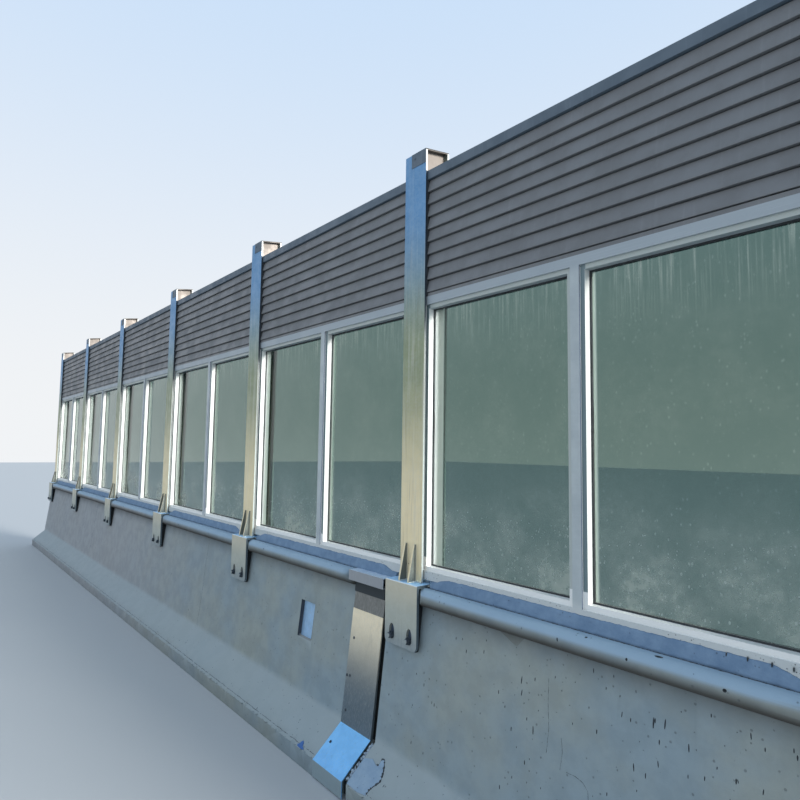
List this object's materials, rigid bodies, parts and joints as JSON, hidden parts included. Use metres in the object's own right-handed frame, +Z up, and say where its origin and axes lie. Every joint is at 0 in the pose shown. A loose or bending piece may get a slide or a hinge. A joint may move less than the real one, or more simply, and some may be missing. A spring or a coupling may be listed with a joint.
{
  "type": "highway noise barrier",
  "caption": "Highway noise barrier: rolled steel posts on saddle brackets over a concrete parapet, glazed lower panels, louvred sound panels and copings above.",
  "frame": {"origin": "centre of the bounding box in plan, at the foot of the concrete parapet", "axes": "+X along the barrier, -Y towards the road, +Z up"},
  "size_m": [12.32, 0.552, 3.514],
  "materials": {
    "concrete": "cast concrete with pits, streaks and splashes",
    "mortar": "trowelled bedding mortar, blue grey, ragged",
    "cover_plate": "brushed stainless sheet",
    "cover_cap": "dull folded stainless sheet",
    "galvanised_plate": "hot dip galvanised thick plate",
    "galvanised_post": "hot dip galvanised rolled steel with run-off streaks",
    "frame_aluminium": "satin anodised aluminium",
    "glass": "clear glass with a slight green tint and dirt specks",
    "louvre_paint": "warm grey powder coat, semi matt",
    "coping_paint": "blue grey powder coat, semi matt"
  },
  "bodies": {
    "root": {"parapet_left": "concrete", "parapet_right": "concrete", "bedding": "mortar", "pocket_plate": "cover_plate", "joint_cap": "cover_cap", "joint_face": "cover_plate", "joint_toe": "cover_plate", "saddle_1": "galvanised_plate", "saddle_2": "galvanised_plate", "saddle_3": "galvanised_plate", "saddle_4": "galvanised_plate", "saddle_5": "galvanised_plate", "saddle_6": "galvanised_plate", "saddle_7": "galvanised_plate", "post_1": "galvanised_post", "post_2": "galvanised_post", "post_3": "galvanised_post", "post_4": "galvanised_post", "post_5": "galvanised_post", "post_6": "galvanised_post", "post_7": "galvanised_post", "frame_1": "frame_aluminium", "frame_2": "frame_aluminium", "frame_3": "frame_aluminium", "frame_4": "frame_aluminium", "frame_5": "frame_aluminium", "frame_6": "frame_aluminium", "glass_1": "glass", "glass_2": "glass", "glass_3": "glass", "glass_4": "glass", "glass_5": "glass", "glass_6": "glass", "louvre_1": "louvre_paint", "louvre_2": "louvre_paint", "louvre_3": "louvre_paint", "louvre_4": "louvre_paint", "louvre_5": "louvre_paint", "louvre_6": "louvre_paint", "coping_1": "coping_paint", "coping_2": "coping_paint", "coping_3": "coping_paint", "coping_4": "coping_paint", "coping_5": "coping_paint", "coping_6": "coping_paint"}
  },
  "joints": []
}
